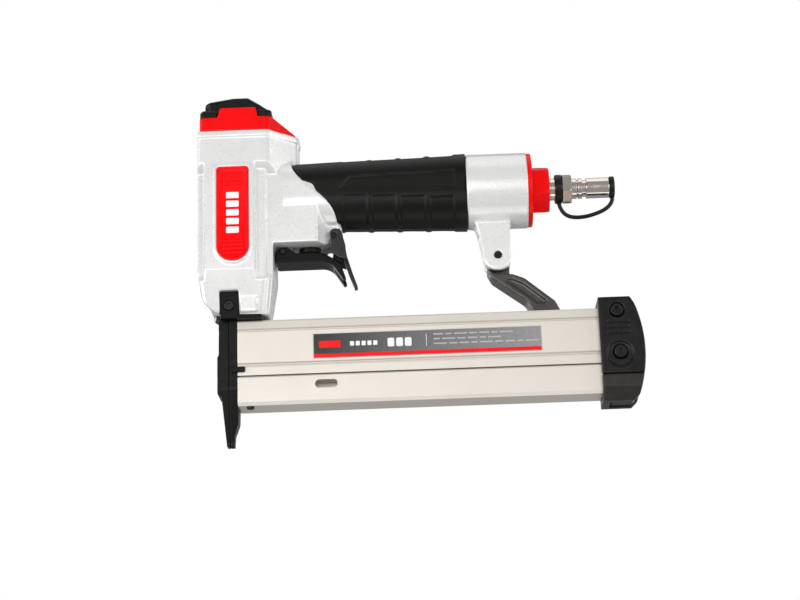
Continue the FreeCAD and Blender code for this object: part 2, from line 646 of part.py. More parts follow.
def make_tether_strap():
    path = strap_path()
    section = Part.Wire(Part.Circle(Vector(RING_X + 2.2, 0, HANDLE_Z - 8.0), Vector(0, 0, 1), STRAP_R).toShape())
    return path.makePipeShell([section], True, False)


# ---------------------------------------------------------------- trigger, lock lever and trigger valve
def make_trigger():
    """Channel-shaped trigger whose end curls down as a finger stop, slotted for the lock lever."""
    px, pz = TRIGGER_PIVOT
    plate = [(24.6, 99.6, 0.8), (54.0, 99.6, 9.0), (61.0, 88.8, 0.4), (62.5, 89.6, 0.4), (59.6, 98.6, 3.0),
             (54.4, 101.8, 3.0), (24.6, 101.8, 0.8)]
    finger = slab(plate, at_xz, -8.0, 8.0)
    cheek = [(24.6, 100.4), (24.6, 107.7, 2.8), (32.2, 107.7, 2.6), (35.2, 104.7, 2.0), (50.5, 104.3, 1.0),
             (55.4, 101.2)]
    trigger = finger
    for low, high in both_sides(lambda side: span(side, 6.4, 8.0)):
        trigger = fuse(trigger, slab(cheek, at_xz, low, high))
    trigger = trigger.cut(box(56.5, 70, -3.1, 3.1, 80, 101.0))
    return trigger.cut(rod_y(1.5 + FIT, px, pz, -20, 20))


def make_lock_lever():
    """Safety lever behind the trigger: two cheeks on the pivot, a bridge and a narrow tail."""
    px, pz = LEVER_PIVOT
    cheek = [(53.7, 117.2, 2.6), (60.2, 117.2, 2.6), (62.6, 108.0, 6.0), (63.4, 99.4, 1.2), (58.8, 100.8, 1.0),
             (56.0, 103.4, 3.0), (50.2, 102.9, 0.9), (49.8, 105.0, 0.8), (54.9, 106.8, 1.0), (54.9, 112.0, 1.0)]
    lever = None
    for low, high in both_sides(lambda side: span(side, 8.5, 10.0)):
        lever = slab(cheek, at_xz, low, high) if lever is None else fuse(lever, slab(cheek, at_xz, low, high))
    bridge = slab([(58.6, 108.4, 0.6), (62.3, 108.6, 0.6), (62.7, 105.4, 0.6), (58.8, 105.2, 0.6)], at_xz,
                  -10.0, 10.0)
    tail = slab([(60.2, 106.0), (62.4, 106.0), (65.6, 95.0, 14.0), (68.7, 85.6, 0.5), (66.9, 85.0, 0.5),
                 (63.6, 94.2, 12.0)], at_xz, -2.6, 2.6)
    lever = fuse(lever, bridge, tail)
    return lever.cut(rod_y(1.5 + FIT, px, pz, -20, 20))


def make_pivot_pin(pivot, half_length):
    pin = rod_y(1.5, *pivot, -half_length, half_length)
    return soften(pin, 0.3, lambda e: on_plane(e, "y", half_length) or on_plane(e, "y", -half_length), 2)


def make_lock_lever_spring():
    """Torsion spring on the lock lever's pin, close-wound beside the ear."""
    spring = helix_spring(2.3, 0.25, 0.0, 1.9, 1.5)
    return aimed(spring, (LEVER_PIVOT[0], 6.35, LEVER_PIVOT[1]), (0, 1, 0))


def make_valve_bush():
    bush = fuse(rod_z(5.6 - FIT, 108.3, 122.0, STEM_X), rod_z(6.0, 105.8, 108.3, STEM_X))
    bush = soften(bush, 0.5, lambda e: on_plane(e, "z", 105.8))
    bush = bush.cut(torus(5.6 - FIT, 0.9, Vector(STEM_X, 0, 112.0), Vector(0, 0, 1)))
    bush = bush.cut(rod_z(4.2, 114.0, 123, STEM_X))
    return bush.cut(rod_z(2.4 + FIT, 100, 123, STEM_X))


def make_valve_oring():
    ring = torus(5.6 - FIT, 0.85, Vector(STEM_X, 0, 112.0), Vector(0, 0, 1))
    return ring.common(rod_z(5.58, 110, 114, STEM_X))


def make_valve_stem():
    stem = rod_z(2.4, 102.0, 116.5, STEM_X)
    stem = soften(stem, 0.7, lambda e: on_plane(e, "z", 102.0))
    return fuse(stem, rod_z(3.9, 114.6, 116.8, STEM_X))


def make_valve_spring():
    return helix_spring(3.2, 0.35, 116.9, 122.0, 4, STEM_X)


# ---------------------------------------------------------------- nose
def nose_face(points, y_top, y_tip):
    """A side profile cut to the nose's front outline, which narrows to the tip."""
    front = [(-y_top, 90), (-y_top, 30.0, 6.0), (-y_tip, 2.0), (-y_tip, -1), (y_tip, -1), (y_tip, 2.0),
             (y_top, 30.0, 6.0), (y_top, 90)]
    return slab(points, at_xz, -30, 30).common(slab(front, at_yz, -30, 60))


def make_nose_body():
    """Rear half of the nose: the yoke that holds the head, the block in front of the magazine and the tip."""
    outline = [(-0.6, 67.3), (MAGAZINE_FRONT, 67.3), (MAGAZINE_FRONT, 12.6, 3.0), (1.8, 6.2, 3.0), (1.5, 0.0),
               (-0.6, 0.0)]
    block = nose_face(outline, 9.0, 2.6)
    base = slab([(-0.6, -14.4), (17.6, -13.2, 1.5), (17.6, 13.2, 1.5), (-0.6, 14.4)], at_xy, 67.2, HEAD_BOTTOM)
    yoke = fuse(block, base)
    for low, high in both_sides(lambda side: span(side, 11.0, 14.4)):
        yoke = fuse(yoke, slab([(-4.6, 67.2), (5.2, 67.2), (5.2, 82.0, 1.6), (-4.6, 82.0, 1.6)], at_xz, low, high))
    for low, high in both_sides(lambda side: span(side, 8.6, HALF_MAGAZINE + 0.8)):
        finger = slab([(0.4, 38.6, 0.5), (8.0, 38.6, 0.5), (8.0, 41.4, 0.5), (0.4, 41.4, 0.5)], at_xz, low, high)
        yoke = fuse(yoke, finger)
    yoke = yoke.cut(box(MAGAZINE_FRONT, 9, -HALF_MAGAZINE + 0.4, HALF_MAGAZINE - 0.4, 37, 43))
    yoke = yoke.cut(box(-2, CHANNEL_HALF, -0.75, 0.75, -5, 80))
    yoke = yoke.cut(box(-1, 6, -0.9, 0.9, 21.0, 53.0))
    for z in NOSE_SCREW_Z:
        for y in (-5.6, 5.6):
            yoke = yoke.cut(rod_x(1.25, -4, 4.2, z, y))
    for side in (-1, 1):
        low, high = span(side, 10.0, 16.0)
        yoke = yoke.cut(rod_y(1.6, 0.0, 74.5, low, high))
        low, high = span(side, 13.0, 16.0)
        yoke = yoke.cut(rod_y(2.9, 0.0, 74.5, low, high))
    return yoke


def make_nose_plate():
    """Front half of the nose: a plate that closes the driver's channel."""
    side = [(-0.65, 69.0), (-6.2, 69.0, 0.6), (-6.2, 49.0), (-7.0, 47.4, 0.6), (-7.0, 27.4, 1.0), (-4.9, 26.4),
            (-2.6, 0.0), (-0.65, 0.0)]
    plate = nose_face(side, 8.6, 2.6)
    plate = plate.cut(box(-CHANNEL_HALF, 0, -0.75, 0.75, -5, 80))
    for z in NOSE_SCREW_Z:
        for y in (-5.6, 5.6):
            plate = plate.cut(rod_x(1.5, -10, 0, z, y))
            plate = plate.cut(rod_x(2.7, -10, -3.2, z, y))
    return plate


def make_nose_screws():
    screw = socket_screw(2.5, 2.2, 1.2, 6.4, 2.0)
    made = [aimed(screw, (-3.2, y, z), (-1, 0, 0)) for z in NOSE_SCREW_Z for y in (-5.6, 5.6)]
    return Part.makeCompound(made)


def make_yoke_screws():
    screw = socket_screw(2.7, 1.8, 1.5, 3.8, 2.5)
    return Part.makeCompound([aimed(screw, (0.0, side * 13.0, 74.5), (0, side, 0)) for side in (-1, 1)])


# ---------------------------------------------------------------- magazine


def rail_section():
    """Half outline of the fixed rail, from the top to the joint line, with its outer grooves."""
    w = HALF_MAGAZINE
    half = [(w - 1.0, MAGAZINE_TOP), (w - 0.3, MAGAZINE_TOP - 0.9)]
    for z in LINE_Z:
        half += [(w, z + 0.9), (w - 0.9, z + 0.35), (w - 0.9, z - 0.35), (w, z - 0.9)]
    half += [(w - 0.5, LINE_Z[-1] - 1.4), (w - 0.5, SPLIT_Z + 0.5)]
    return half


def mirrored(half):
    return half + [(-u, v) for u, v in reversed(half)]


def make_magazine_rail():
    """Fixed upper extrusion: it hangs from the head and the support arm and guides the sliding channel."""
    rail = slab(mirrored(rail_section()), at_yz, MAGAZINE_FRONT + 0.1, RAIL_REAR)
    guide = mirrored([(FIN_HALF + GAP, SPLIT_Z - 2), (FIN_HALF + GAP, 53.8), (5.2, 53.8), (5.2, 63.8)])
    rail = rail.cut(slab(guide, at_yz, 0, 300))
    for low, high in both_sides(lambda side: span(side, 4.2, 8.0)):
        groove = [(low, SPLIT_Z - 2), (high, SPLIT_Z - 2), (high, 40.6, 0.6), (low, 40.6, 0.6)]
        hollow = [(low, 43.4, 0.8), (high, 43.4, 0.8), (high, 51.6, 0.8), (low, 51.6, 0.8)]
        rail = rail.cut(slab(groove, at_yz, 0, 300)).cut(slab(hollow, at_yz, 0, 300))
    for x in ARM_SCREW_X:
        rail = rail.cut(rod_z(1.6, 60, 70, x))
    for x, z in REAR_SCREWS:
        for side in (-1, 1):
            low, high = span(side, 5.8, 20.0)
            rail = rail.cut(rod_y(1.5, x, z, low, high))
    return rail


def make_magazine_slide():
    """Sliding lower channel: an outer block and a slotted fin that carries the pins."""
    w = HALF_MAGAZINE
    block = [(w - 1.6, MAGAZINE_BOTTOM), (w, MAGAZINE_BOTTOM + 1.6), (w, SPLIT_Z - 0.9), (w - 0.9, SPLIT_Z - 0.1)]
    slide = slab(mirrored(block), at_yz, MAGAZINE_FRONT + 0.1, MAGAZINE_REAR)
    fin = box(MAGAZINE_FRONT + 0.1, MAGAZINE_REAR, -FIN_HALF, FIN_HALF, 30, FIN_TOP)
    slide = fuse(slide, fin)
    for side in (-1, 1):
        low, high = span(side, 4.5, 7.7)
        key = slab([(low, SPLIT_Z - 2), (high, SPLIT_Z - 2), (high, 40.3), (low, 40.3)], at_yz,
                   MAGAZINE_FRONT + 0.1, MAGAZINE_REAR)
        slide = fuse(slide, key)
        low, high = span(side, 3.6, 8.2)
        hollow = [(low, 24.0, 0.8), (high, 24.0, 0.8), (high, 33.4, 0.8), (low, 33.4, 0.8)]
        slide = slide.cut(slab(hollow, at_yz, 0, 300))
        # window that shows how many pins are left
        low, high = span(side, 1.6, 20.0)
        window = [(45.0, 28.6, 2.2), (57.0, 28.6, 2.2), (57.0, 33.2, 2.2), (45.0, 33.2, 2.2)]
        slide = slide.cut(slab(window, at_xz, low, high))
    slide = slide.cut(box(0, 300, -0.62, 0.62, 22.8, 60))
    return slide.cut(rod_z(1.0 + FIT, 0, 22.0, *STOP_SCREW))


def make_stop_screw():
    """Small screw in the floor of the channel, near its front."""
    x, y = STOP_SCREW
    screw = socket_screw(2.0, 1.2, 1.0, 1.3, 1.5)
    return aimed(screw, (x, y, MAGAZINE_BOTTOM), (0, 0, -1))


def make_pusher():
    """Blade in the channel's slot with a carriage on top that holds the roll spring."""
    blade = box(PUSHER_X, PUSHER_X + PUSHER_LENGTH, -0.5, 0.5, 23.1, 54.5)
    carriage = box(PUSHER_X, PUSHER_X + PUSHER_LENGTH, -4.6, 4.6, 54.2, 56.0)
    cheeks = [box(PUSHER_X + 2.5, PUSHER_X + 13.5, *span(side, 3.4, 4.6), 55.5, 62.6) for side in (-1, 1)]
    pusher = fuse(blade, carriage, *cheeks)
    return pusher.cut(rod_y(0.85, PUSHER_X + 8.0, 59.4, -10, 10))


def make_spring_roll():
    """Constant-force spring as a closed roll on its own pin."""
    roll = rod_y(3.0, PUSHER_X + 8.0, 59.4, -3.0, 3.0)
    return roll.cut(rod_y(0.85, PUSHER_X + 8.0, 59.4, -10, 10))


def make_roll_pin():
    return rod_y(0.8, PUSHER_X + 8.0, 59.4, -4.6, 4.6)


def make_magazine_label(side):
    low, high = span(side, HALF_MAGAZINE, HALF_MAGAZINE + 0.15)
    return slab([(44.4, 44.7, 0.5), (165.6, 44.7, 0.5), (165.6, 58.2, 0.5), (44.4, 58.2, 0.5)], at_xz, low, high)


# ---------------------------------------------------------------- rear cap, slide end and latch


def rear_profile():
    """Side outline shared by the rear cap and the slide's end: a bowed back and chamfered corners."""
    back = Part.Arc(at_xz(215.4, 69.2), at_xz(220.0, 44.0), at_xz(215.8, 19.2)).toShape()
    points = [at_xz(215.8, 19.2), at_xz(212.6, 16.0), at_xz(196.4, 16.0), at_xz(196.4, 72.5), at_xz(213.4, 72.5),
              at_xz(215.4, 69.2)]
    return Part.Wire([back] + [Part.makeLine(a, b) for a, b in zip(points, points[1:])])


def rear_block():
    """Outer form of both rear pieces, rounded along its side edges."""
    section = mirrored([(9.6, 15.0), (REAR_HALF, 23.4), (REAR_HALF, 73.0)])
    block = slab(rear_profile(), at_xz, -REAR_HALF, REAR_HALF).common(slab(section, at_yz, 190, 230))
    return soften(block, 1.2, lambda e: e.BoundBox.XMax > 198 and e.BoundBox.ZMin > 24 and
                  (on_plane(e, "y", -REAR_HALF) or on_plane(e, "y", REAR_HALF)), 2)


def make_rear_cap():
    cap = rear_block().common(box(190, 230, -20, 20, REAR_SPLIT + 0.4, 80))
    seat_half = HALF_MAGAZINE + 0.1
    cap = cap.cut(box(190, RAIL_REAR + 0.1, -seat_half, seat_half, SPLIT_Z - 8, MAGAZINE_TOP + 0.1))
    tunnel = box(190, 230, -HALF_MAGAZINE - GAP, HALF_MAGAZINE + GAP, 20, SPLIT_Z + 0.4)
    guide = box(190, 230, -FIN_HALF - GAP, FIN_HALF + GAP, 30, 53.8)
    keys = [box(190, 230, *span(side, 4.2, 8.0), 30, 40.6) for side in (-1, 1)]
    for tool in [tunnel, guide] + keys:
        cap = cap.cut(tool)
    for x, z in REAR_SCREWS:
        for side in (-1, 1):
            low, high = span(side, 6.0, 20.0)
            cap = cap.cut(rod_y(1.6, x, z, low, high))
            low, high = span(side, 10.4, 20.0)
            cap = cap.cut(rod_y(3.9, x, z, low, high))
    for side in (-1, 1):
        low, high = span(side, 11.5, 20.0)
        cap = cap.cut(rod_y(6.9, REAR_SCREWS[1][0] - 0.2, REAR_SCREWS[1][1] - 1.3, low, high))
        for z in (58.6, 55.6, 52.6):
            low, high = span(side, 11.9, 20.0)
            line = [(200.6, z - 0.7, 0.3), (212.6, z - 0.7, 0.3), (212.6, z + 0.7, 0.3), (200.6, z + 0.7, 0.3)]
            cap = cap.cut(slab(line, at_xz, low, high))
    return cap


def make_rear_cap_screws():
    screw = socket_screw(3.4, 2.4, 1.5, 4.2, 3.0)
    made = []
    for x, z in REAR_SCREWS:
        for side in (-1, 1):
            made.append(aimed(screw, (x, side * 10.4, z), (0, side, 0)))
    return Part.makeCompound(made)


def make_slide_end():
    """End piece of the sliding channel: the lower part of the rear cap, with the latch's seat."""
    block = rear_block().common(box(190, 230, -20, 20, 10, REAR_SPLIT))
    seat = box(190, MAGAZINE_REAR, -HALF_MAGAZINE - 0.1, HALF_MAGAZINE + 0.1, MAGAZINE_BOTTOM - 0.1, 40)
    plug = rear_block().common(box(MAGAZINE_REAR, 230, -HALF_MAGAZINE, HALF_MAGAZINE, 24, SPLIT_Z))
    end = fuse(block.cut(seat), plug)
    pocket = fuse(box(200.5, 230, -7.0, 7.0, 14, 24.4), box(206.5, 230, -7.0, 7.0, 20, 27.6))
    end = end.cut(pocket)
    end = end.cut(rod_y(1.0 + FIT, *LATCH_PIVOT, -9.0, 9.0))
    return end


def make_latch_pin():
    return rod_y(1.0, *LATCH_PIVOT, -8.9, 8.9)


def make_latch():
    """Thumb latch under the slide's end: pressed up, it lets the channel slide back."""
    side = [(201.0, 16.8, 0.8), (212.4, 16.8, 0.8), (215.2, 20.4, 1.0), (214.8, 23.0, 0.8), (210.0, 22.4),
            (204.5, 23.8, 1.0), (201.0, 23.4, 1.4)]
    latch = slab(side, at_xz, -6.6, 6.6)
    return latch.cut(rod_y(1.0 + FIT, *LATCH_PIVOT, -9.0, 9.0))


# ---------------------------------------------------------------- support arm
def make_support_arm():
    """Bracket from the handle's lug down to the magazine, with a tongue that fits between the lug's ears."""
    px, pz = LUG_PIN
    half = 6.8
    top = MAGAZINE_TOP
    side = [(138.4, 92.0), (141.0, 87.0, 5.0), (158.8, 73.6, 6.0), (162.0, top, 0.4), (177.0, top, 0.4),
            (174.2, 72.8, 4.0), (158.4, 86.2, 6.0), (152.4, 88.6, 3.0), (148.8, 89.2), (144.8, 88.9), (141.6, 89.8),
            (139.6, 91.8)]
    body = slab(side, at_xz, -half, half)
    tongue = slab([(140.0, 88.0), (150.6, 86.0), (150.9, 99.6, 2.0), (148.0, 106.0, 4.0), (141.6, 106.0, 4.0),
                   (138.9, 99.6, 2.0)], at_xz, -3.3, 3.3)
    arm = fuse(body, tongue)
    for low, high in both_sides(lambda sign: span(sign, 5.8, 12.0)):
        arm = arm.cut(slab([(147.0, 85.8, 0.8), (157.6, 77.8, 3.0), (164.6, 71.8, 1.0), (171.2, 71.8, 1.0),
                            (157.6, 83.2, 3.0), (151.6, 86.0, 0.8)], at_xz, low, high))
    arm = arm.cut(rod_y(2.0 + FIT, px, pz, -20, 20))
    for x in ARM_SCREW_X:
        arm = arm.cut(rod_z(1.3, 60, 72.0, x))
    return arm


def make_arm_bolt():
    px, pz = LUG_PIN
    bolt = rod_y(2.0, px, pz, -7.8, 9.2)
    head = rod_y(3.4, px, pz, 7.7, 10.2)
    return fuse(bolt, head)


def make_arm_foot_screws():
    screw = socket_screw(2.6, 1.6, 1.25, 6.0, 2.0)
    return Part.makeCompound([aimed(screw, (x, 0.0, 63.8), (0, 0, -1)) for x in ARM_SCREW_X])


# ---------------------------------------------------------------- build
def write(parts):
    os.makedirs("parts", exist_ok=True)
    for old in os.listdir("parts"):
        if old.endswith(".step"):
            os.remove(os.path.join("parts", old))
    for name, shape in parts.items():
        solids = shape.Solids
        sound = all(s.isValid() and s.Volume > 0 for s in solids) and len(solids) > 0
        volume = sum(s.Volume for s in solids)
        print(f"{name:22s} solids {len(solids)} volume {volume:10.1f} {'ok' if sound else 'BAD'}")
        shape.exportStep(os.path.join("parts", name + ".step"))


def main():
    housing = make_housing()
    parts = {
        "housing": housing,
        "cap_gasket": make_cap_gasket(),
        "cylinder_cap": make_cylinder_cap(),
        "exhaust_cover": make_exhaust_cover(),
        "cap_screws": make_cap_screws(),
        "badge_right": make_side_badge(-1),
        "badge_left": make_side_badge(1),
        "grip_sleeve": make_grip_sleeve(housing),
        "inlet_cap": make_inlet_cap(),
        "inlet_oring": make_inlet_oring(),
        "inlet_filter": make_inlet_filter(),
        "air_plug": make_air_plug(),
        "tether_ring": make_tether_ring(),
        "tether_strap": make_tether_strap(),
        "dust_cap": make_dust_cap(),
        "cylinder_sleeve": make_cylinder_sleeve(),
        "sleeve_oring": make_sleeve_oring(),
        "bumper": make_bumper(),
        "driver_guide": make_driver_guide(),
        "piston": make_piston(),
        "piston_oring": make_piston_oring(),
        "driver_blade": make_driver_blade(),
        "head_valve": make_head_valve(),
        "head_valve_spring": make_head_valve_spring(),
        "trigger": make_trigger(),
        "trigger_pin": make_pivot_pin(TRIGGER_PIVOT, 8.4),
        "lock_lever": make_lock_lever(),
        "lock_lever_pin": make_pivot_pin(LEVER_PIVOT, 10.4),
        "lock_lever_spring": make_lock_lever_spring(),
        "valve_bush": make_valve_bush(),
        "valve_oring": make_valve_oring(),
        "valve_stem": make_valve_stem(),
        "valve_spring": make_valve_spring(),
        "nose_body": make_nose_body(),
        "nose_plate": make_nose_plate(),
        "nose_screws": make_nose_screws(),
        "yoke_screws": make_yoke_screws(),
        "magazine_rail": make_magazine_rail(),
        "magazine_slide": make_magazine_slide(),
        "stop_screw": make_stop_screw(),
        "pusher": make_pusher(),
        "spring_roll": make_spring_roll(),
        "roll_pin": make_roll_pin(),
        "label_right": make_magazine_label(-1),
        "label_left": make_magazine_label(1),
        "rear_cap": make_rear_cap(),
        "rear_cap_screws": make_rear_cap_screws(),
        "slide_end": make_slide_end(),
        "latch": make_latch(),
        "latch_pin": make_latch_pin(),
        "support_arm": make_support_arm(),
        "arm_bolt": make_arm_bolt(),
        "arm_foot_screws": make_arm_foot_screws(),
    }
    write(parts)


main()
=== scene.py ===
import json
import math

import bmesh
import bpy
from mathutils import Matrix, Vector

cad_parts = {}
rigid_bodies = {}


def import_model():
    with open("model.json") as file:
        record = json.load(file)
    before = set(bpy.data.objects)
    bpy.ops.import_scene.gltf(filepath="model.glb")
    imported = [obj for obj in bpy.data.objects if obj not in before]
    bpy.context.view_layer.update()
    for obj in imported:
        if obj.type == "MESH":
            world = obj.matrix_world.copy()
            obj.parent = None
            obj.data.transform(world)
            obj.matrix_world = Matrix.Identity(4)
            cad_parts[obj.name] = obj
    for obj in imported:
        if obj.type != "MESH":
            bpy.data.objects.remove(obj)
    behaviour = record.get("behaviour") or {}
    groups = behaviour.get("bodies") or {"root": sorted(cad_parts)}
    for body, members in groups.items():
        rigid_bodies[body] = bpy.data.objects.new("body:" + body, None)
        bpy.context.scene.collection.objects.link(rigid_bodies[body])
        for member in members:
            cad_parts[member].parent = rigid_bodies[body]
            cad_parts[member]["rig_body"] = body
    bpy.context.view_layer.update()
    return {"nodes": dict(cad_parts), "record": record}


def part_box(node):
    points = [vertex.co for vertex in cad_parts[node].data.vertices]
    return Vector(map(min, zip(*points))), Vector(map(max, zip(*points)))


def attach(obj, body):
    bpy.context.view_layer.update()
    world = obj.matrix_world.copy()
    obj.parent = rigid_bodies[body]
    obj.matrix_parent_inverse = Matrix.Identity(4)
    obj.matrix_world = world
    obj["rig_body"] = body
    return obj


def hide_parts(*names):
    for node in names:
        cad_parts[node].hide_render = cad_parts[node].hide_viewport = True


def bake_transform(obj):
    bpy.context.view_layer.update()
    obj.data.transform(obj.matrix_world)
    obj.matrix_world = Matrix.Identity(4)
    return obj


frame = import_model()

scene = bpy.context.scene
nodes = frame["nodes"]
MM = 0.001
SLOTS = {row["node"]: row["material_slot"] for row in frame["record"]["subparts"]}


EDGE_START = 0.02     # how far a rounded normal has turned where an edge's wear starts
EDGE_FULL = 0.16      # and where the wear is complete


# ---------------------------------------------------------------- node tree helpers
class Tree:
    """Short ways to add and join the nodes of one material."""

    def __init__(self, name):
        self.material = bpy.data.materials.new(name)
        self.material.use_nodes = True
        self.tree = self.material.node_tree
        self.shader = self.tree.nodes["Principled BSDF"]
        self.place = self.add("ShaderNodeTexCoord").outputs["Object"]

    def add(self, kind, inputs=None, **settings):
        node = self.tree.nodes.new(kind)
        for key, value in settings.items():
            setattr(node, key, value)
        for key, value in (inputs or {}).items():
            self.feed(node.inputs[key], value)
        return node

    def feed(self, socket, value):
        if isinstance(value, bpy.types.NodeSocket):
            self.tree.links.new(value, socket)
        else:
            socket.default_value = value

    def stretched(self, scale):
        return self.add("ShaderNodeMapping", {"Vector": self.place, "Scale": scale}).outputs["Vector"]

    def noise(self, scale, detail=3.0, vector=None):
        inputs = {"Vector": vector or self.place, "Scale": scale, "Detail": detail, "Roughness": 0.55}
        return self.add("ShaderNodeTexNoise", inputs).outputs["Fac"]

    def math(self, operation, first, second):
        return self.add("ShaderNodeMath", {0: first, 1: second}, operation=operation).outputs[0]

    def spread(self, value, low, high, to_low=0.0, to_high=1.0):
        """The value carried from the range low..high to the range to_low..to_high."""
        return self.add("ShaderNodeMapRange", {"Value": value, "From Min": low, "From Max": high,
                                               "To Min": to_low, "To Max": to_high}).outputs["Result"]

    def blend(self, factor, first, second):
        made = self.add("ShaderNodeMix", data_type="RGBA")
        self.feed(made.inputs["Factor"], factor)
        for socket, value in ((made.inputs[6], first), (made.inputs[7], second)):
            self.feed(socket, value if isinstance(value, bpy.types.NodeSocket) else (*value, 1.0))
        return made.outputs[2]

    def edges(self, radius):
        """0 away from a surface's edges and 1 along them; also the normal that rounds those edges."""
        bevel = self.add("ShaderNodeBevel", {"Radius": radius}, samples=6)
        normal = self.add("ShaderNodeNewGeometry").outputs["Normal"]
        dot = self.add("ShaderNodeVectorMath", {0: bevel.outputs[0], 1: normal}, operation="DOT_PRODUCT")
        return self.spread(dot.outputs["Value"], 1.0 - EDGE_START, 1.0 - EDGE_FULL), bevel.outputs[0]

    def bump(self, height, distance, normal=None):
        made = self.add("ShaderNodeBump", {"Height": height, "Distance": distance, "Strength": 1.0})
        if normal is not None:
            self.feed(made.inputs["Normal"], normal)
        return made.outputs["Normal"]


def finish(name, colour, shade, roughness, metallic=0.0, grain=(2200.0, 0.00003), mottle=90.0, uneven=0.06,
           wear=None, wear_amount=0.5, edge=0.0003, brushed=None, crevice_shade=None, constants=None):
    """A surface with mottled colour, uneven roughness and a fine grain; edges rounded and worn where asked.

    The grain is (noise scale, depth in metres). An edge of 0 is for pieces whose mesh is rounded already. A
    crevice_shade is (reach in metres, share of the colour left in the deepest corner): painted shade that
    darkens the colour in corners, grooves and recesses, where ambient occlusion finds nearby surfaces. A brushed
    surface is given the scale of its streaks on each axis.
    """
    t = Tree(name)
    scale, depth = grain
    cloud = t.spread(t.noise(mottle, 4.0), 0.35, 0.65)
    base = t.blend(cloud, colour, shade)
    worn, round_normal = t.edges(edge) if edge else (None, None)
    rough = t.spread(t.noise(mottle * 4, 4.0), 0.3, 0.7, roughness - uneven, roughness + uneven)
    if wear:
        chips = t.spread(t.noise(1500.0, 5.0), 0.45, 0.6)
        share = t.math("MULTIPLY", t.math("MULTIPLY", worn, chips), wear_amount)
        base = t.blend(share, base, wear)
    # Painted shade: the colour darkens towards corners, grooves and recesses, wherever ambient occlusion finds
    # surfaces within the reach.
    if crevice_shade:
        reach, darkest = crevice_shade
        open_sky = t.add("ShaderNodeAmbientOcclusion", {"Distance": reach}, samples=8).outputs["AO"]
        base = t.blend(t.spread(open_sky, 0.25, 0.80, 1.0, 0.0), base, [darkest * v for v in shade])
    if brushed:
        streaks = t.noise(1.0, 2.0, t.stretched(brushed))
        rough = t.math("ADD", rough, t.spread(streaks, 0.3, 0.7, -0.05, 0.05))
        base = t.blend(t.spread(streaks, 0.25, 0.75, 0.0, 0.22), base, shade)
        height = streaks
    else:
        height = t.noise(scale)
    t.feed(t.shader.inputs["Base Color"], base)
    t.feed(t.shader.inputs["Roughness"], rough)
    t.feed(t.shader.inputs["Normal"], t.bump(height, depth, round_normal))
    t.shader.inputs["Metallic"].default_value = metallic
    for key, value in (constants or {}).items():
        t.shader.inputs[key].default_value = value
    return t.material
